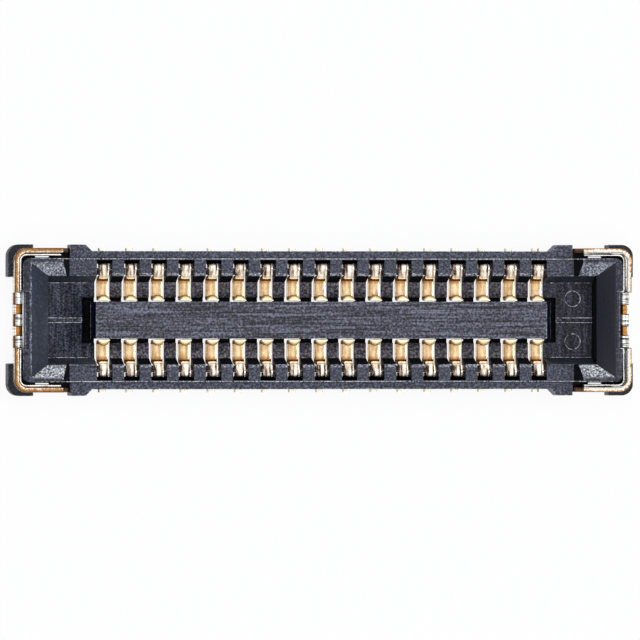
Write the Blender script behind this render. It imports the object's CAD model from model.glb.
import math

import bmesh
import bpy
from mathutils import Matrix, Vector


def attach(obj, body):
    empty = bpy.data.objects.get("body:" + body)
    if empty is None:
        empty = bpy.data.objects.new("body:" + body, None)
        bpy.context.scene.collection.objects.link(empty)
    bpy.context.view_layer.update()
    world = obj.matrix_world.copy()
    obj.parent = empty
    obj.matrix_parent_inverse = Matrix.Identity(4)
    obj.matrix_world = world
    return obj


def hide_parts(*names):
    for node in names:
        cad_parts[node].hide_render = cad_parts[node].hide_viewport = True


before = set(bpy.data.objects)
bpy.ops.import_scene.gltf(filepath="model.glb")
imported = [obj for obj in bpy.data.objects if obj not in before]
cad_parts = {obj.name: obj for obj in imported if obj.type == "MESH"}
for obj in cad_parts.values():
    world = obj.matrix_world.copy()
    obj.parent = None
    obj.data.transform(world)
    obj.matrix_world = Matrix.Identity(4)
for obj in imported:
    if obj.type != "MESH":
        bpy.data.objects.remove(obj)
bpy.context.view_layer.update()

# Housing: one black moulding of liquid-crystal polymer with glass fibre in it. Its tops
# and floors keep the fine spark-eroded grain of the mould, the guides at the ends are
# polished, and most upper edges have the small round that the resin leaves.

MM = 0.001
HOUSING_TOP = (0.045, 0.049, 0.073)
HOUSING_FRAME = (0.026, 0.029, 0.045)
HOUSING_BAR = (0.055, 0.056, 0.078)
HOUSING_LAND = (0.125, 0.118, 0.140)
HOUSING_FLOOR = {"left": (0.041, 0.044, 0.064), "right": (0.024, 0.026, 0.039)}
HOUSING_FLOOR_WALL = (0.026, 0.028, 0.042)
HOUSING_GUIDE = {"left": (0.016, 0.022, 0.038), "right": (0.001, 0.002, 0.009)}
HOUSING_WORN = (0.150, 0.158, 0.185)
HOUSING_CORNER = (0.016, 0.017, 0.026)
HOUSING_SIDE_GUIDE = {"far": (0.165, 0.175, 0.210), "near": (0.300, 0.310, 0.350)}
HOUSING_WELL = (0.0025, 0.0025, 0.004)
HOUSING_RIM = (0.110, 0.115, 0.145)
HOUSING_EDGE = (0.42, 0.43, 0.47)
(TOP, FRAME, BAR, LAND, FLOOR_LEFT, FLOOR_RIGHT, FLOOR_WALL, GUIDE_LEFT, GUIDE_RIGHT, SIDE_GUIDE_FAR,
 SIDE_GUIDE_NEAR, CORNER, WELL, WORN, RIM, EDGE) = range(16)
LENGTHWISE = (0.03, 1, 1)
CROSSWISE = (1, 0.04, 1)
TOOL_MARKS = 34
MARK_RELIEF = 0.8
# How far from the middle of the noise, and how much lighter the resin is there
SPECK_STEPS = ((-0.13, -1.0), (0.0, 0.0), (0.06, 0.8), (0.15, 2.8))

# Places and lengths in millimetres: X and Y from the middle, Z from the board
EDGE_ROUND = 0.009
LINE_ROUND = 0.006
GUIDE_FOOT_Z = 0.46
GUIDE_HALF_Y = 0.6
CHANNEL_Z = 0.07
POCKET_Z = 0.12
BAR_TOP_Z = 0.35
BAR_SLOPE_Z = 0.2
BAR_HALF = 0.24
WELL_HALF = 0.78
OUTSIDE_Y = 0.93
FRAME_START = 3.30
SLOT_START_Y = 0.57
POCKET_START = 2.95
POCKET_END = 3.56
GAP_FLOOR_Z = 0.12
CORNER_START = (3.70, 0.54)
CORNER_TOP_Z = 0.31
LEDGE_Y = (0.775, 0.80)
MARK_X = (3.15, 3.42)
MARK_Y = (0.15, 0.40)
SLOT_WEB = ((-2.905, 2.905), (0.58, 0.668), (0.018, 0.030))
RIB_Z = 0.10
RIB_HALF = 0.04
FLOOR_BEAD = ((2.990, 3.520), (0.474, 0.496), (0.080, 0.098))
WALL_TOP_Z = 0.39
WORN_TO_Y = 0.602
RIM_REACH = 0.1
SHORT_EDGE = 0.03
ALONG_SHARE = 0.9
SLACK = 0.01
TOUCH = 0.001
JOIN_WITHIN = 0.0004
CUT_WITHIN = 0.0001

# Parts of a face's normal. Upwards a wall has less than STEEP, a wall that leans back
# more than LEANING and a top more than LEVEL; a face that looks sideways has more than
# ASIDE along Y, and one that looks straight sideways more than FACING.
LEVEL = 0.97
NEARLY_LEVEL = 0.9
STEEP = 0.5
LEANING = 0.1
ASIDE = 0.3
FACING = 0.8

# Angles in degrees
FLAT_WITHIN = 0.5
ROUND_FROM = 20
SHARP_FROM = 32


def new_material(name, color, metallic=0.0, roughness=0.5, specular=0.5):
    """A material whose shader holds the constant values on its sockets."""
    material = bpy.data.materials.new(name)
    material.use_nodes = True
    sockets = material.node_tree.nodes["Principled BSDF"].inputs
    sockets["Base Color"].default_value = (*color, 1)
    sockets["Metallic"].default_value = metallic
    sockets["Roughness"].default_value = roughness
    sockets["Specular IOR Level"].default_value = specular
    return material


def node_of(material, kind, **values):
    """A new node with the given values on its sockets or settings."""
    node = material.node_tree.nodes.new(kind)
    for key, value in values.items():
        if key in node.inputs:
            node.inputs[key].default_value = value
        else:
            setattr(node, key, value)
    return node


def link(material, out, into):
    material.node_tree.links.new(out, into)


def place_in_mm(material, stretch=(1, 1, 1)):
    """Object coordinates in millimetres, squeezed along the axes of a mark."""
    place = node_of(material, "ShaderNodeTexCoord")
    scale = node_of(material, "ShaderNodeMapping")
    scale.inputs["Scale"].default_value = [value / MM for value in stretch]
    link(material, place.outputs["Object"], scale.inputs["Vector"])
    return scale.outputs["Vector"]


def grain(material, vector, scale, detail=3.0, roughness=0.6):
    """Noise of about the given number of grains in a millimetre."""
    noise = node_of(material, "ShaderNodeTexNoise", Scale=scale, Detail=detail, Roughness=roughness)
    link(material, vector, noise.inputs["Vector"])
    return noise.outputs["Fac"]


def ramp(material, fac, stops):
    """Colours at places along a value, each (place, (r, g, b))."""
    node = node_of(material, "ShaderNodeValToRGB")
    elements = node.color_ramp.elements
    while len(elements) < len(stops):
        elements.new(0.5)
    for element, (place, color) in zip(elements, stops):
        element.position = place
        element.color = (*color, 1)
    link(material, fac, node.inputs["Fac"])
    return node.outputs["Color"]


def scaled_sum(material, value, factor, added):
    """The value times the factor plus what is added, each a number or another node's output."""
    node = node_of(material, "ShaderNodeMath", operation="MULTIPLY_ADD")
    for item, socket in zip((value, factor, added), node.inputs):
        if isinstance(item, bpy.types.NodeSocket):
            link(material, item, socket)
        else:
            socket.default_value = item
    return node.outputs["Value"]


def bump(material, height, depth, under=None):
    """Relief of the given depth in millimetres, over the relief that lies under it."""
    node = node_of(material, "ShaderNodeBump", Strength=1.0, Distance=depth * MM)
    link(material, height, node.inputs["Height"])
    if under is not None:
        link(material, under, node.inputs["Normal"])
    return node.outputs["Normal"]


def shader_of(material):
    """The material's Principled shader."""
    return material.node_tree.nodes["Principled BSDF"]


def shade(color, factor):
    """The colour times a factor, no channel above 1."""
    return tuple(min(1.0, value * factor) for value in color)


def moulded_plastic(name, color, contrast, roughness, relief, specular=0.35,
                    marks=(0.12, 1, 1), mark_share=0.35, grains=36):
    """Black resin with its speckle, and tool marks drawn out along one axis."""
    material = new_material(name, color, roughness=roughness, specular=specular)
    speck = grain(material, place_in_mm(material), grains, detail=3, roughness=0.65)
    drag = grain(material, place_in_mm(material, marks), TOOL_MARKS, detail=2)
    both = scaled_sum(material, drag, mark_share, speck)
    middle = 0.5 + 0.5 * mark_share
    stops = [
        (middle + step, shade(color, max(0.0, 1 + lighter * contrast)))
        for step, lighter in SPECK_STEPS
    ]
    link(material, ramp(material, both, stops), shader_of(material).inputs["Base Color"])
    fine = bump(material, speck, relief)
    dragged = bump(material, drag, relief * MARK_RELIEF, under=fine)
    link(material, dragged, shader_of(material).inputs["Normal"])
    return material


# Each with its colour, the contrast of its speckle, its roughness and its relief
housing_materials = [
    moulded_plastic("moulded grained tops", HOUSING_TOP, 0.80, 0.52, 0.0018, mark_share=0.15),
    moulded_plastic("moulded frame tops", HOUSING_FRAME, 0.80, 0.50, 0.0016, mark_share=0.15),
    moulded_plastic("moulded centre bar", HOUSING_BAR, 0.85, 0.50, 0.0016,
                    marks=LENGTHWISE, mark_share=0.7),
    moulded_plastic("moulded floor lands", HOUSING_LAND, 0.80, 0.52, 0.0018, mark_share=0.1),
    moulded_plastic("moulded left pocket", HOUSING_FLOOR["left"], 0.85, 0.50, 0.0016,
                    specular=0.25, marks=CROSSWISE, mark_share=0.5, grains=42),
    moulded_plastic("moulded right pocket", HOUSING_FLOOR["right"], 1.0, 0.50, 0.0020,
                    specular=0.25, marks=CROSSWISE, mark_share=0.5, grains=42),
    moulded_plastic("moulded pocket walls", HOUSING_FLOOR_WALL, 0.80, 0.50, 0.0016,
                    specular=0.25, marks=LENGTHWISE, mark_share=0.3, grains=42),
    moulded_plastic("moulded left guide", HOUSING_GUIDE["left"], 0.35, 0.27, 0.0004,
                    specular=0.32, marks=CROSSWISE),
    moulded_plastic("moulded right guide", HOUSING_GUIDE["right"], 0.40, 0.27, 0.0004,
                    specular=0.30, marks=CROSSWISE),
    moulded_plastic("moulded far guides", HOUSING_SIDE_GUIDE["far"], 1.0, 0.42, 0.0050,
                    mark_share=0.1, grains=48),
    moulded_plastic("moulded near guides", HOUSING_SIDE_GUIDE["near"], 1.0, 0.42, 0.0050,
                    mark_share=0.1, grains=48),
    moulded_plastic("moulded corner pieces", HOUSING_CORNER, 0.60, 0.50, 0.0012,
                    specular=0.25, mark_share=0.1),
    moulded_plastic("moulded deep wells", HOUSING_WELL, 0.50, 0.60, 0.0010, specular=0.1),
    moulded_plastic("moulded worn bands", HOUSING_WORN, 1.0, 0.46, 0.0030,
                    mark_share=0.1, grains=44),
    moulded_plastic("moulded soft rims", HOUSING_RIM, 0.90, 0.42, 0.0020),
    moulded_plastic("moulded rubbed edges", HOUSING_EDGE, 1.0, 0.36, 0.0020),
]


def merged_copy(node):
    """The CAD node's shape in millimetres, with its triangles joined to flat faces."""
    bm = bmesh.new()
    bm.from_mesh(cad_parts[node].data)
    bmesh.ops.scale(bm, vec=(1 / MM, 1 / MM, 1 / MM), verts=bm.verts)
    bmesh.ops.remove_doubles(bm, verts=bm.verts, dist=JOIN_WITHIN)
    bmesh.ops.dissolve_limit(bm, angle_limit=math.radians(FLAT_WITHIN), verts=bm.verts, edges=bm.edges)
    return bm


def round_edges(bm, edges, width, segments=2):
    """Rounds the edges and gives back the faces of the rounds."""
    made = bmesh.ops.bevel(bm, geom=edges, offset=width, offset_type="OFFSET", affect="EDGES",
                           segments=segments, profile=0.5, material=-1, clamp_overlap=False)
    return made["faces"]


def faces_where(bm, test):
    """The faces for which the test of their middle and their normal holds."""
    return [face for face in bm.faces if test(face.calc_center_median(), face.normal)]


def split_at(bm, faces, axis, value):
    """Cuts the faces along the plane at the value on an axis, and gives the faces back."""
    edges = {edge for face in faces for edge in face.edges}
    verts = {vert for face in faces for vert in face.verts}
    plane = Vector([float(axis == name) for name in "xyz"])
    made = bmesh.ops.bisect_plane(bm, geom=list(faces) + list(edges) + list(verts), dist=CUT_WITHIN,
                                  plane_co=plane * value, plane_no=plane)
    return [item for item in made["geom"] if isinstance(item, bmesh.types.BMFace)]


def finish_piece(name, bm, materials, node):
    """Makes the object of a piece in metres, in place of its CAD node."""
    bmesh.ops.scale(bm, vec=(MM, MM, MM), verts=bm.verts)
    mesh = bpy.data.meshes.new(name)
    bm.to_mesh(mesh)
    bm.free()
    for material in materials:
        mesh.materials.append(material)
    mesh.polygons.foreach_set("use_smooth", [True] * len(mesh.polygons))
    mesh.set_sharp_from_angle(angle=math.radians(SHARP_FROM))
    piece = bpy.data.objects.new(name, mesh)
    bpy.context.scene.collection.objects.link(piece)
    even = piece.modifiers.new("normals by face area", "WEIGHTED_NORMAL")
    even.keep_sharp = True
    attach(piece, "root")
    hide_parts(node)


def housing_finish(face):
    """The finish of a face, from where it lies and which way it faces."""
    tilt = face.normal
    middle = face.calc_center_median()
    out_x, out_y = abs(middle.x), abs(middle.y)
    inside = out_y < WELL_HALF and out_x < POCKET_END
    if tilt.z < -STEEP:
        return CORNER
    if middle.z > GUIDE_FOOT_Z and STEEP < tilt.z < LEVEL:
        if abs(tilt.y) > ASIDE:
            return SIDE_GUIDE_FAR if middle.y > 0 else SIDE_GUIDE_NEAR
        return GUIDE_LEFT if middle.x < 0 else GUIDE_RIGHT
    if out_x > CORNER_START[0] and out_y > CORNER_START[1] and middle.z < CORNER_TOP_Z:
        return CORNER
    if inside and STEEP < tilt.z < NEARLY_LEVEL and out_y < BAR_HALF and middle.z > BAR_SLOPE_Z:
        return GUIDE_RIGHT
    if inside and LEANING < tilt.z < STEEP and abs(tilt.y) > FACING and out_x > POCKET_START:
        return FLOOR_WALL
    if inside and (middle.z < CHANNEL_Z or tilt.z < STEEP):
        return WELL
    if inside and middle.z < POCKET_Z:
        if out_y > SLOT_START_Y:
            return WELL
        if out_x < POCKET_START:
            return LAND
        return FLOOR_LEFT if middle.x < 0 else FLOOR_RIGHT
    if out_y < BAR_HALF and middle.z > BAR_TOP_Z and out_x < POCKET_END:
        return BAR
    if middle.z < GAP_FLOOR_Z and out_y < OUTSIDE_Y and tilt.z > STEEP:
        return WELL
    if out_x > FRAME_START and middle.z > GUIDE_FOOT_Z:
        return FRAME
    if abs(middle.z - WALL_TOP_Z) < SLACK and out_y < WORN_TO_Y and out_x < POCKET_START:
        return WORN
    return TOP


def can_be_rounded(edge):
    """Upper edges, the marks and the ribs, but not the steep or crosswise edges in the well."""
    if not (edge.is_manifold and edge.is_convex and edge.calc_face_angle() > math.radians(ROUND_FROM)):
        return False
    high = max(v.co.z for v in edge.verts)
    low = min(v.co.z for v in edge.verts)
    middle = (edge.verts[0].co + edge.verts[1].co) / 2
    out_x, out_y = abs(middle.x), abs(middle.y)
    if MARK_X[0] < middle.x < MARK_X[1] and MARK_Y[0] < out_y < MARK_Y[1] and low > CHANNEL_Z:
        return True
    if out_y < RIB_HALF and out_x > POCKET_START and RIB_Z < low and high < GAP_FLOOR_Z:
        return True
    if high < GAP_FLOOR_Z or edge.calc_length() < SHORT_EDGE:
        return False
    in_well = out_y < WELL_HALF - SLACK and out_x < POCKET_END + SLACK
    above_floor = middle.z > GAP_FLOOR_Z
    beside_slot = in_well and above_floor and out_y > SLOT_START_Y - SLACK and out_x < POCKET_START
    along = abs(edge.verts[0].co.x - edge.verts[1].co.x) > ALONG_SHARE * edge.calc_length()
    return not (in_well and high - low > SLACK) and (along or not beside_slot)


def rim_finish(face):
    """The finish of a round: light on the ledge and the floors, dark at the end guides."""
    middle = face.calc_center_median()
    out_x, out_y = abs(middle.x), abs(middle.y)
    on_ledge = LEDGE_Y[0] < out_y < LEDGE_Y[1]
    on_floor = middle.z < GAP_FLOOR_Z and out_x > POCKET_START
    at_guide = out_y < GUIDE_HALF_Y and abs(face.normal.y) < LEANING and middle.z > GUIDE_FOOT_Z
    if at_guide and POCKET_END - RIM_REACH < out_x < POCKET_END + RIM_REACH:
        return GUIDE_LEFT if middle.x < 0 else GUIDE_RIGHT
    if at_guide and POCKET_END < middle.x < CORNER_START[0] + RIM_REACH:
        return GUIDE_RIGHT
    return EDGE if on_ledge or on_floor else RIM


def add_block(bm, spans, finish, rounded=0.0, rim=None):
    """A closed block between the given spans of x, y and z, its upper edges rounded."""
    made = bmesh.ops.create_cube(bm, size=1.0)["verts"]
    for vert in made:
        vert.co = [span[0] if value < 0 else span[1] for value, span in zip(vert.co, map(sorted, spans))]
    faces = {face for vert in made for face in vert.link_faces}
    for face in faces:
        face.material_index = finish
    if rounded:
        top = max(vert.co.z for vert in made)
        edges = {edge for face in faces for edge in face.edges}
        upper = [edge for edge in edges if all(v.co.z > top - TOUCH for v in edge.verts)]
        for face in round_edges(bm, upper, rounded):
            face.material_index = rim


housing = merged_copy("housing")
for side in (-1, 1):
    wall_top = faces_where(housing, lambda middle, way: way.z > LEVEL and abs(middle.z - WALL_TOP_Z) < SLACK)
    split_at(housing, wall_top, "y", side * WORN_TO_Y)
for face in housing.faces:
    face.material_index = housing_finish(face)
for face in round_edges(housing, [edge for edge in housing.edges if can_be_rounded(edge)], EDGE_ROUND):
    face.material_index = rim_finish(face)
for side in (-1, 1):
    x_span, y_span, z_span = SLOT_WEB
    add_block(housing, (x_span, [side * y for y in y_span], z_span), WELL)
    x_span, y_span, z_span = FLOOR_BEAD
    for turn in (-1, 1):
        spans = ([side * x for x in x_span], [turn * y for y in y_span], z_span)
        add_block(housing, spans, FLOOR_RIGHT, LINE_ROUND, EDGE)
finish_piece("moulded_housing", housing, housing_materials, "housing")

# Contacts: thirty-four strips of phosphor bronze, 0.05 mm thick, stamped, bent and
# plated with gold. Each is pressed into its slot from above: the ears of its inner leg
# bite into the slot's sides, and its springy end leans out beside the centre bar.

# Sizes of the strip in millimetres, except the turns: STEP_ANGLE is in degrees and
# STRAIGHT_TURN in radians
STRIP_T = 0.05
BEND_R = 0.030
COIN_W = 0.018
COIN_DROP = 0.012
COIN_MIDDLE = (0.3, 0.45)
FOOT_RUN = 0.008
FOOT_RISE = 0.010
COLUMNS = 10
STEP_ANGLE = 16
STRAIGHT_TURN = 0.02
CONTACT_PITCH = 0.35
CONTACTS_IN_ROW = 17
EAR_W = 0.09
LEG_W = 0.060
NOSE_BACK_Y = 0.242
NOSE_HALF = 0.0775
NOSE_ROUNDING = 0.9
GOLD_DEEP = (0.030, 0.012, 0.005)
GOLD_CREASE = (0.32, 0.125, 0.030)
GOLD_BROWN = (0.50, 0.29, 0.11)
GOLD_FACE = (0.84, 0.62, 0.34)
GOLD_PALE = (0.94, 0.86, 0.70)
GOLD_TINT = (0.80, 0.55, 0.28)
CLOUDS = 14
CLOUD_SHARE = 0.5
ROLLED_LINES = 30
ROLLED_ALONG = (1, 0.2, 0.2)
STREAK_GAIN = 3.2
STREAK_START = -1.75
STREAK_GREYING = -0.52
ROLLED_DEPTH = 0.0016
PITS = 45
PIT_DEPTH = 0.0012

# Tones across the strip: the dark of the ears, the brown side of the arms with its
# start, fade, limit and share, a dark line and a glint, each by its place, reach and
# strength, and the lighter rims
EAR_TONE = -0.3
BROWN_X = -0.008
BROWN_FADE = 0.02
BROWN_LIMIT = 0.9
BROWN_SHARE = 0.75
DARK_LINE = (0.032, 0.016, 1.3)
GLINT = (0.053, 0.010, 1.0)
GLINT_SHARE = 0.8
RIM_FROM = 0.75
RIM_TONE = 0.3

# Along the strip from the tail to the tip: |y| and z on the middle of the sheet,
# half its width, how far its face is burnished to catch light from above, how
# round it is in plan, its tone from crease to glint, and how strongly it is streaked
CONTACT_RUN = [
    (0.922, 0.025, 0.0480, 0.00, 0.0, 0.90, 0.1),
    (0.695, 0.025, 0.0480, 0.00, 0.0, 0.90, 0.1),
    (0.695, 0.080, 0.0480, 0.00, 0.0, 0.40, 0.1),
    (0.695, 0.110, 0.0600, 0.00, 0.0, 0.30, 0.3),
    (0.695, 0.365, 0.0600, 0.30, 0.0, 0.85, 1.0),
    (0.658, 0.368, 0.0610, 0.15, 0.0, 0.88, 1.0),
    (0.648, 0.363, 0.0980, 0.15, 0.0, 0.88, 1.0),
    (0.588, 0.335, 0.0980, 0.20, 0.0, 0.88, 0.9),
    (0.576, 0.328, 0.0590, 0.40, 0.0, 0.84, 0.5),
    (0.553, 0.295, 0.0570, 0.75, 0.0, 0.58, 0.1),
    (0.549, 0.180, 0.0620, 0.00, 0.0, -0.05, 0.0),
    (0.542, 0.130, 0.0680, 0.00, 0.0, 0.00, 0.0),
    (0.520, 0.085, 0.0740, 0.00, 0.0, 0.02, 0.0),
    (0.490, 0.085, 0.0760, 0.00, 0.0, 0.18, 0.2),
    (0.455, 0.085, 0.0760, 0.00, 0.0, 0.48, 0.2),
    (0.310, 0.085, 0.0760, 0.00, 0.0, 0.48, 0.2),
    (0.267, 0.085, 0.0770, 0.00, 0.0, 0.10, 0.1),
    (0.2785, 0.130, 0.0775, 0.00, 0.5, 0.02, 0.0),
    (0.2960, 0.200, 0.0775, 0.00, 1.0, 0.02, 0.0),
    (0.3010, 0.262, 0.0775, 0.00, 1.0, 0.08, 0.0),
    (0.2890, 0.290, 0.0775, 0.40, 1.0, 0.45, 0.0),
    (0.2660, 0.301, 0.0760, 0.60, 1.0, 0.66, 0.0),
    (0.2475, 0.303, 0.0740, 0.60, 1.0, 0.62, 0.0),
]

gold = new_material("contact gold plating", GOLD_FACE, metallic=0.80, roughness=0.26)
shader_of(gold).inputs["Specular Tint"].default_value = (*GOLD_TINT, 1)
tone, streaked, burnish = [
    node_of(gold, "ShaderNodeAttribute", attribute_name=name).outputs["Fac"]
    for name in ("tone", "streaked", "burnish")
]
cloud = grain(gold, place_in_mm(gold), CLOUDS, detail=5)
rolled = grain(gold, place_in_mm(gold, ROLLED_ALONG), ROLLED_LINES, detail=3)
mottled = scaled_sum(gold, cloud, CLOUD_SHARE, tone)
lines = scaled_sum(gold, rolled, STREAK_GAIN, STREAK_START)
marked = scaled_sum(gold, lines, streaked, mottled)
paled = node_of(gold, "ShaderNodeHueSaturation")
link(gold, scaled_sum(gold, streaked, STREAK_GREYING, 1.0), paled.inputs["Saturation"])
link(gold, ramp(gold, marked, [
    (0.05, GOLD_DEEP),
    (0.22, GOLD_CREASE),
    (0.50, GOLD_BROWN),
    (0.80, GOLD_FACE),
    (1.00, GOLD_PALE),
]), paled.inputs["Color"])
link(gold, paled.outputs["Color"], shader_of(gold).inputs["Base Color"])
surface = node_of(gold, "ShaderNodeNewGeometry")
upward = node_of(gold, "ShaderNodeMix", data_type="VECTOR")
link(gold, burnish, upward.inputs[0])
link(gold, surface.outputs["Normal"], upward.inputs[4])
upward.inputs[5].default_value = (0, 0, 1)
turned_up = node_of(gold, "ShaderNodeVectorMath", operation="NORMALIZE")
link(gold, upward.outputs[1], turned_up.inputs[0])
pits = bump(gold, grain(gold, place_in_mm(gold), PITS), PIT_DEPTH, under=turned_up.outputs["Vector"])
link(gold, bump(gold, rolled, ROLLED_DEPTH, under=pits), shader_of(gold).inputs["Normal"])


def strip_section(bm, half_w):
    """The cut across the strip, standing on the tail's end with its faces along Z."""
    half_t = STRIP_T / 2
    flat = half_w - COIN_W
    across = [flat - 2 * flat * k / COLUMNS for k in range(COLUMNS + 1)]
    inward, lower = COIN_MIDDLE
    side = [(half_w, half_t - COIN_DROP), (half_w - COIN_W * inward, half_t - COIN_DROP * lower)]
    foot = [(half_w, FOOT_RISE - half_t), (half_w - FOOT_RUN, -half_t)]
    outline = side + [(x, half_t) for x in across] + [(-x, z) for x, z in reversed(side)]
    outline += [(-x, z) for x, z in foot] + [(-x, -half_t) for x in across[1:-1]]
    outline += list(reversed(foot))
    verts = [bm.verts.new((x, 0, z)) for x, z in outline]
    edges = [bm.edges.new(pair) for pair in zip(verts, verts[1:] + verts[:1])]
    return verts, edges


def verts_and_edges(geom):
    """The vertices and the edges among what an operator has made."""
    return ([v for v in geom if isinstance(v, bmesh.types.BMVert)],
            [e for e in geom if isinstance(e, bmesh.types.BMEdge)])


def peak(x, place, reach, height):
    """A height at the place that falls by one over the reach to its sides, down to nothing."""
    return max(0.0, height - abs(x - place) / reach)


def tone_across(x, half_w, shine, streaks, side):
    """Ears are dark between the leg and their bright rims, arms are browner at the left."""
    x *= side
    if half_w > EAR_W and LEG_W < abs(x) < EAR_W:
        return EAR_TONE
    brown = max(0.0, min(BROWN_LIMIT, (BROWN_X - x) / BROWN_FADE)) + peak(x, *DARK_LINE)
    glint = GLINT_SHARE * streaks * peak(x, *GLINT)
    rim = RIM_TONE * max(0.0, abs(x) / half_w - RIM_FROM) / (1 - RIM_FROM)
    return shine + glint - BROWN_SHARE * streaks * brown + rim


def bent_strip(run, side):
    """Draws the section along the run, with a bend of BEND_R at each turn."""
    bm = bmesh.new()
    tone_of = bm.verts.layers.float.new("tone")
    streak_of = bm.verts.layers.float.new("streaked")
    nose_of = bm.verts.layers.float.new("nose")
    burnish_of = bm.verts.layers.float.new("burnish")
    points = [Vector((0, y, z)) for y, z, *_ in run]
    verts, edges = strip_section(bm, run[0][2])
    bmesh.ops.translate(bm, vec=points[0], verts=verts)
    first = list(edges)
    for vert in verts:
        vert[tone_of] = run[0][5]
    here = points[0].copy()
    width = run[0][2]
    for k in range(1, len(run)):
        half_w, burnished, nose, shine, streaks = run[k][2:]
        ahead = (points[k] - points[k - 1]).normalized()
        turn, reach = 0.0, 0.0
        if k + 1 < len(run):
            after = (points[k + 1] - points[k]).normalized()
            turn = ahead.angle(after)
            if turn > STRAIGHT_TURN:
                turn *= math.copysign(1, ahead.cross(after).x)
                reach = BEND_R * math.tan(abs(turn) / 2)
            else:
                turn = 0.0
        verts, edges = verts_and_edges(bmesh.ops.extrude_edge_only(bm, edges=edges)["geom"])
        goal = points[k] - ahead * reach
        bmesh.ops.translate(bm, vec=goal - here, verts=verts)
        here = goal
        for vert in verts:
            vert.co.x *= half_w / width
            vert[burnish_of] = burnished
            vert[tone_of] = tone_across(vert.co.x, half_w, shine, streaks, side)
            vert[streak_of] = streaks
            vert[nose_of] = nose
        width = half_w
        if turn:
            aside = Vector((0, -ahead.z, ahead.y)) * math.copysign(1, turn)
            pivot = here + aside * BEND_R
            steps = max(2, round(math.degrees(abs(turn)) / STEP_ANGLE))
            made = bmesh.ops.spin(bm, geom=verts + edges, cent=pivot, axis=(1, 0, 0),
                                  angle=turn, steps=steps, use_duplicate=False)
            verts, edges = verts_and_edges(made["geom_last"])
            here = pivot + Matrix.Rotation(turn, 3, "X") @ (here - pivot)
    for ring in (first, edges):
        bmesh.ops.contextual_create(bm, geom=ring)
    for vert in bm.verts:
        share = min(1.0, abs(vert.co.x) / NOSE_HALF)
        round_in_plan = 1 - vert[nose_of] * (1 - math.sqrt(1 - NOSE_ROUNDING * share * share))
        vert.co.y = NOSE_BACK_Y + (vert.co.y - NOSE_BACK_Y) * round_in_plan
    bmesh.ops.recalc_face_normals(bm, faces=bm.faces)
    return bm


for row, turned, side in (("a", 0, 1), ("b", math.pi, -1)):
    for number in range(1, CONTACTS_IN_ROW + 1):
        contact = bent_strip(CONTACT_RUN, side)
        facing = Matrix.Rotation(turned, 3, "Z")
        bmesh.ops.rotate(contact, cent=(0, 0, 0), matrix=facing, verts=contact.verts)
        place = (number - (CONTACTS_IN_ROW + 1) / 2) * CONTACT_PITCH
        bmesh.ops.translate(contact, vec=(place, 0, 0), verts=contact.verts)
        node = f"contact_{row}{number:02d}"
        finish_piece(f"spring_{node}", contact, [gold], node)

# Hold-downs: one strip of plated bronze stands on edge round each end, soldered to the
# board by its tabs. It is stamped after plating, so its faces are silvery and its cut
# edges bare orange metal. Three bridges fold over to a leg inside the frame.

PLATED = (0.92, 0.88, 0.80)
BARE_EDGE = (0.44, 0.23, 0.085)
BARE_DARK = (0.20, 0.095, 0.036)
BARE_FLOOR = (0.48, 0.20, 0.04)
BARE_RIM = (0.17, 0.070, 0.022)
FOLD_SHADE = (0.022, 0.011, 0.007)
TINTED_END = (0.19, 0.105, 0.055)
LEG_BLUE = (0.45, 0.49, 0.54)
SHELL_T = 0.06
SHELL_INNER = (3.912, 0.86)
SHELL_INNER_R = 0.10
PLATED_FACE, CUT_EDGE, TINTED, NOTCH_FLOOR, BRIDGE, LEG_LIP, BRIDGE_RIM, FOLD_GAP = range(8)
HOLD_DOWN_ROUND = 0.010
PLY_ROUND = 0.002
TAB_Z = 0.05
CUT_TOP_Z = 0.56
STAINED_FROM_Z = 0.50
PLY_STAINED_FROM_Z = 0.35
PLY_RIM_Z = 0.47
TINTED_BELOW_Z = 0.4
SHELL_CORNER = (3.81, 0.76)
SHELL_INSIDE = (3.90, 0.85)
LEG_HALF = 0.365
ARM_TOP_X = 3.352
BRIDGE_TOP_Z = 0.415
BRIDGE_FOOT_Z = 0.355
BRIDGE_BARE_X = 3.944
BRIDGE_TINT_X = 3.850
LOW_FOLD_Z = (0.28, 0.36)
HIGH_FOLD_Z = 0.37
NOTCH_X = {"left": (3.870, 3.930), "right": (3.897, 3.950)}
LEG_LIP_SPAN = ((-3.858, -3.826), (-0.368, 0.368), (0.36, 0.428))
LEG_LIP_ROUND = 0.008
WEB_Z = 0.36
WEB_SLACK = 0.004
WEB_LIFT = 0.10
WEB_LIFT_AT_END = 0.19
WEB_STEP_X = (3.70, 3.74)
PLY_INSIDE = (3.86, 0.80)
GROOVE_X = 3.866
GROOVE_HALF = 0.008
GROOVE_DEPTH = 0.010
LOOKS_OUT = 0.1
UPRIGHT = 0.05
FOLD_TILT = 0.3
RIM_ANGLE = 40
STAINS = 16
TORN_EDGE = 48
TORN_SHARE = 0.85
TORN_DEPTH = 0.0024
ACROSS_SHARE = 0.6
DIAGONAL = 0.7

# Across the cut edge, outwards: how far from where the plating ends, in which colour
# and how light
BARE_FROM = {"left": 0.54, "right": 0.82}
CUT_EDGE_STEPS = (
    (-0.36, PLATED, 0.45),
    (-0.20, PLATED, 0.78),
    (-0.03, PLATED, 0.92),
    (0.03, BARE_EDGE, 1.7),
    (0.11, BARE_EDGE, 1.0),
    (0.32, BARE_DARK, 1.0),
)


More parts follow.
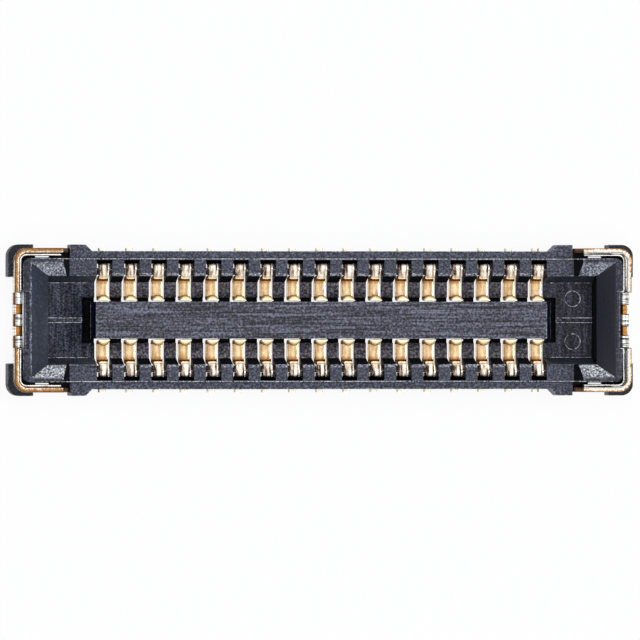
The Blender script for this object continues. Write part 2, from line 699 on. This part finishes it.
def sheet_metal(name, color, roughness, stretch, relief, contrast=0.38,
                drawn_share=0.6, lines=48, dark_at=0.36):
    """Metal with stains in its colour and fine lines drawn out along one axis."""
    material = new_material(name, color, metallic=1.0, roughness=roughness)
    stain = grain(material, place_in_mm(material), STAINS, detail=5)
    drawn = grain(material, place_in_mm(material, stretch), lines, detail=2)
    both = node_of(material, "ShaderNodeMix", data_type="FLOAT")
    both.inputs[0].default_value = drawn_share
    link(material, stain, both.inputs[2])
    link(material, drawn, both.inputs[3])
    link(material, ramp(material, both.outputs[0], [
        (dark_at, shade(color, 1 - contrast)),
        (0.50, color),
        (0.62, shade(color, 1 + 0.7 * contrast)),
    ]), shader_of(material).inputs["Base Color"])
    link(material, bump(material, drawn, relief), shader_of(material).inputs["Normal"])
    return material


def vector_math(material, operation, first, second):
    """The operation on another node's output and a constant."""
    node = node_of(material, "ShaderNodeVectorMath", operation=operation)
    link(material, first, node.inputs[0])
    node.inputs[1].default_value = second
    return node


def cut_edge_metal(name, bare_from):
    """The top of the sheet: plating rolled over its inner side, bare metal outside."""
    material = new_material(name, BARE_EDGE, metallic=1.0, roughness=0.34)
    place = place_in_mm(material)
    folded = node_of(material, "ShaderNodeVectorMath", operation="ABSOLUTE")
    link(material, place, folded.inputs[0])
    corner = (SHELL_INNER[0] - SHELL_INNER_R, SHELL_INNER[1] - SHELL_INNER_R, 1)
    beyond = vector_math(material, "SUBTRACT", folded.outputs["Vector"], corner)
    ahead = vector_math(material, "MAXIMUM", beyond.outputs["Vector"], (0, 0, 0))
    far = node_of(material, "ShaderNodeVectorMath", operation="LENGTH")
    link(material, ahead.outputs["Vector"], far.inputs[0])
    across = node_of(material, "ShaderNodeMapRange")
    across.inputs["From Min"].default_value = SHELL_INNER_R
    across.inputs["From Max"].default_value = SHELL_INNER_R + SHELL_T
    across.inputs["To Max"].default_value = ACROSS_SHARE
    link(material, far.outputs["Value"], across.inputs["Value"])
    torn = grain(material, place, TORN_EDGE, detail=3)
    wavy = scaled_sum(material, torn, TORN_SHARE, across.outputs["Result"])
    stops = [(min(1.0, bare_from + step), shade(color, light)) for step, color, light in CUT_EDGE_STEPS]
    link(material, ramp(material, wavy, stops), shader_of(material).inputs["Base Color"])
    link(material, bump(material, torn, TORN_DEPTH), shader_of(material).inputs["Normal"])
    return material


plated_sheet = sheet_metal("hold-down plated faces", PLATED, 0.26, (0.1, 1, 0.1), 0.0016, 0.55)
tinted_sheet = sheet_metal("hold-down tinted ends", TINTED_END, 0.40, (1, 1, 0.15), 0.0020)
notch_floor = sheet_metal("hold-down notch floors", BARE_FLOOR, 0.36, (1, 1, 1), 0.0030, 0.6)
bridge_top = sheet_metal("hold-down bridge tops", PLATED, 0.24, (0.06, 1, 0.06), 0.0030, 0.90,
                         drawn_share=0.9, lines=75, dark_at=0.41)
bridge_rim = sheet_metal("hold-down bridge rims", BARE_RIM, 0.36, (1, 1, 1), 0.0030, 0.7)
fold_gap = sheet_metal("hold-down fold gap", FOLD_SHADE, 0.50, (1, 1, 1), 0.0020)
leg_lip = sheet_metal("hold-down leg lip", LEG_BLUE, 0.40, (1, 0.1, 1), 0.0010, 0.3)


def outward_share(point, way):
    """How far a direction at a point looks away from the connector, from -1 to 1."""
    along = way.x * math.copysign(1, point.x) if abs(point.y) < SHELL_CORNER[1] else 0.0
    aside = way.y * math.copysign(1, point.y) if abs(point.x) < SHELL_CORNER[0] else 0.0
    if abs(point.y) >= SHELL_CORNER[1] and abs(point.x) >= SHELL_CORNER[0]:
        along = way.x * math.copysign(DIAGONAL, point.x)
        aside = way.y * math.copysign(DIAGONAL, point.y)
    return along + aside


def sheet_finish(face, side):
    """Cut edges and bridge rims are bare metal, arm ends and the gap in the fold dark."""
    middle = face.calc_center_median()
    way = face.normal
    out_x = abs(middle.x)
    if out_x < ARM_TOP_X:
        return TINTED
    if abs(middle.y) < LEG_HALF:
        bare_from, bare_to = NOTCH_X[side]
        in_notch = middle.z < BRIDGE_FOOT_Z
        if way.z < UPRIGHT or (in_notch and out_x > bare_to):
            return PLATED_FACE
        if in_notch:
            return NOTCH_FLOOR if out_x > bare_from else FOLD_GAP
        if abs(way.y) > ASIDE:
            return BRIDGE_RIM
        if side == "right":
            return BRIDGE if out_x > BRIDGE_TINT_X else BRIDGE_RIM
        return BRIDGE_RIM if out_x > BRIDGE_BARE_X else BRIDGE
    if way.z > NEARLY_LEVEL:
        if middle.z < TINTED_BELOW_Z:
            return TINTED
        return CUT_EDGE if middle.z > CUT_TOP_Z else PLATED_FACE
    looks_out = outward_share(middle, way)
    if way.z > -UPRIGHT and looks_out > LOOKS_OUT and middle.z > STAINED_FROM_Z:
        return CUT_EDGE
    inner_wall = looks_out < -LOOKS_OUT and abs(way.z) < STEEP and middle.z > PLY_STAINED_FROM_Z
    if side == "right" and inner_wall and out_x < PLY_INSIDE[0] and abs(middle.y) < PLY_INSIDE[1]:
        return NOTCH_FLOOR
    return PLATED_FACE


def split_at_each(bm, faces, axis, values):
    """Cuts the faces along several planes, and gives the faces back."""
    for value in values:
        faces = split_at(bm, faces, axis, value)
    return faces


for side, sign in (("left", -1), ("right", 1)):
    hold_down = merged_copy(f"hold_down_{side}")
    on_ply = [
        edge for edge in hold_down.edges
        if all(abs(v.co.x) < SHELL_INSIDE[0] and abs(v.co.y) < SHELL_INSIDE[1] for v in edge.verts)
        and all(abs(v.co.y) > LEG_HALF for v in edge.verts)
    ]
    ply_rims = [edge for edge in on_ply if edge.is_convex and min(v.co.z for v in edge.verts) > PLY_RIM_Z]
    rims = [
        edge for edge in set(hold_down.edges) - set(on_ply)
        if edge.is_manifold and edge.is_convex and edge.calc_face_angle() > math.radians(RIM_ANGLE)
        and max(v.co.z for v in edge.verts) > TAB_Z
    ]
    round_edges(hold_down, ply_rims, PLY_ROUND)
    rims = [edge for edge in rims if edge.is_valid]
    round_edges(hold_down, rims, HOLD_DOWN_ROUND)
    hold_down.normal_update()
    low_fold = faces_where(hold_down, lambda middle, way: (
        way.z > FOLD_TILT and LOW_FOLD_Z[0] < middle.z < LOW_FOLD_Z[1] and abs(middle.y) < LEG_HALF))
    split_at_each(hold_down, low_fold, "x", [sign * x for x in NOTCH_X[side]])
    outside = faces_where(hold_down, lambda middle, way: (
        abs(way.z) < UPRIGHT and abs(middle.y) > LEG_HALF and outward_share(middle, way) > LOOKS_OUT))
    split_at(hold_down, outside, "z", STAINED_FROM_Z)
    if side == "right":
        web = faces_where(hold_down, lambda middle, way: (
            way.z > NEARLY_LEVEL and abs(middle.z - WEB_Z) < WEB_SLACK and abs(middle.y) > LEG_HALF))
        web = split_at_each(hold_down, web, "x", [sign * x for x in WEB_STEP_X])
        for vert in {vert for face in web for vert in face.verts}:
            vert.co.z += WEB_LIFT if abs(vert.co.x) < WEB_STEP_X[0] + TOUCH else WEB_LIFT_AT_END
    tops = faces_where(hold_down, lambda middle, way: (
        way.z > NEARLY_LEVEL and middle.z > BRIDGE_TOP_Z and abs(middle.y) < LEG_HALF))
    lines = [sign * (GROOVE_X + shift) for shift in (-GROOVE_HALF, 0, GROOVE_HALF)]
    split_at_each(hold_down, tops, "x", lines)
    high_fold = faces_where(hold_down, lambda middle, way: (
        way.z > UPRIGHT and middle.z > HIGH_FOLD_Z and abs(middle.y) < LEG_HALF))
    split_at_each(hold_down, high_fold, "x", [sign * x for x in (BRIDGE_BARE_X, BRIDGE_TINT_X)])
    for vert in hold_down.verts:
        on_top = vert.co.z > BRIDGE_TOP_Z and abs(vert.co.y) < LEG_HALF
        if on_top and abs(vert.co.x - sign * GROOVE_X) < TOUCH:
            vert.co.z -= GROOVE_DEPTH
    hold_down.normal_update()
    for face in hold_down.faces:
        face.material_index = sheet_finish(face, side)
    if side == "left":
        add_block(hold_down, LEG_LIP_SPAN, LEG_LIP, LEG_LIP_ROUND, PLATED_FACE)
    cut_edges = cut_edge_metal(f"hold-down cut edges {side}", BARE_FROM[side])
    hold_down_materials = [
        plated_sheet, cut_edges, tinted_sheet, notch_floor, bridge_top, leg_lip, bridge_rim, fold_gap
    ]
    node = f"hold_down_{side}"
    finish_piece(f"formed_{node}", hold_down, hold_down_materials, node)

# Table, lamps and camera: the connector lies on a plain white table under large soft
# lamps. The camera looks down through a long lens, leaning a little to the left end.

TABLE_WHITE = (0.93, 0.93, 0.93)
TABLE_GLOW = 0.90
TABLE_DROP = 0.000002
SKY = (0.95, 0.97, 1.0)
SKY_LEVEL = 0.64
LEAN = math.radians(7.45)
CAMERA_AWAY_MM = 130
LENS = 570.4
SENSOR = 36
AIM_MM = Vector((0.0180, 0.0026, 0))

# Each lamp's place and size in metres and its power
LAMPS = {
    "overhead lamp": ((0.05, 0.0, 0.40), 0.26, 0.21),
    "right lamp": ((0.26, 0.02, 0.20), 0.12, 0.24),
    "left lamp": ((-0.26, 0.0, 0.20), 0.10, 0.03),
    "far lamp": ((0.0, 0.17, 0.27), 0.14, 0.10),
    "near lamp": ((0.0, -0.17, 0.27), 0.14, 0.07),
}

table = new_material("white table", TABLE_WHITE, roughness=0.9, specular=0.1)
lit = node_of(table, "ShaderNodeEmission", Color=(1, 1, 1, 1), Strength=1.0)
path = node_of(table, "ShaderNodeLightPath")
seen = node_of(table, "ShaderNodeMath", operation="ADD", use_clamp=True)
link(table, path.outputs["Is Camera Ray"], seen.inputs[0])
link(table, path.outputs["Is Glossy Ray"], seen.inputs[1])
share = node_of(table, "ShaderNodeMath", operation="MULTIPLY")
share.inputs[1].default_value = TABLE_GLOW
link(table, seen.outputs["Value"], share.inputs[0])
both = node_of(table, "ShaderNodeMixShader")
link(table, share.outputs["Value"], both.inputs["Fac"])
link(table, shader_of(table).outputs["BSDF"], both.inputs[1])
link(table, lit.outputs["Emission"], both.inputs[2])
output = table.node_tree.nodes["Material Output"]
link(table, both.outputs["Shader"], output.inputs["Surface"])

top = bmesh.new()
bmesh.ops.create_grid(top, x_segments=1, y_segments=1, size=1.0)
bmesh.ops.translate(top, vec=(0, 0, -TABLE_DROP), verts=top.verts)
table_mesh = bpy.data.meshes.new("table")
top.to_mesh(table_mesh)
top.free()
table_mesh.materials.append(table)
table_top = bpy.data.objects.new("table", table_mesh)
bpy.context.scene.collection.objects.link(table_top)

world = bpy.data.worlds.new("studio")
world.use_nodes = True
backdrop = world.node_tree.nodes["Background"]
backdrop.inputs["Color"].default_value = (*SKY, 1)
backdrop.inputs["Strength"].default_value = SKY_LEVEL
bpy.context.scene.world = world


def soft_lamp(name, place, size, power):
    """A square lamp that faces the connector."""
    lamp = bpy.data.lights.new(name, "AREA")
    lamp.shape = "SQUARE"
    lamp.size = size
    lamp.energy = power
    holder = bpy.data.objects.new(name, lamp)
    holder.location = place
    holder.rotation_euler = Vector(place).to_track_quat("Z", "Y").to_euler()
    bpy.context.scene.collection.objects.link(holder)


for name, (place, size, power) in LAMPS.items():
    soft_lamp(name, place, size, power)

away = Vector((-math.sin(LEAN), 0, math.cos(LEAN)))
right = Vector((math.cos(LEAN), 0, math.sin(LEAN)))
lens = bpy.data.cameras.new("camera")
lens.lens = LENS
lens.sensor_width = SENSOR
camera = bpy.data.objects.new("camera", lens)
camera.matrix_world = Matrix.Translation((AIM_MM + away * CAMERA_AWAY_MM) * MM) @ Matrix(
    (right, (0, 1, 0), away)).transposed().to_4x4()
bpy.context.scene.collection.objects.link(camera)
bpy.context.scene.camera = camera
bpy.context.scene.view_settings.view_transform = "Standard"
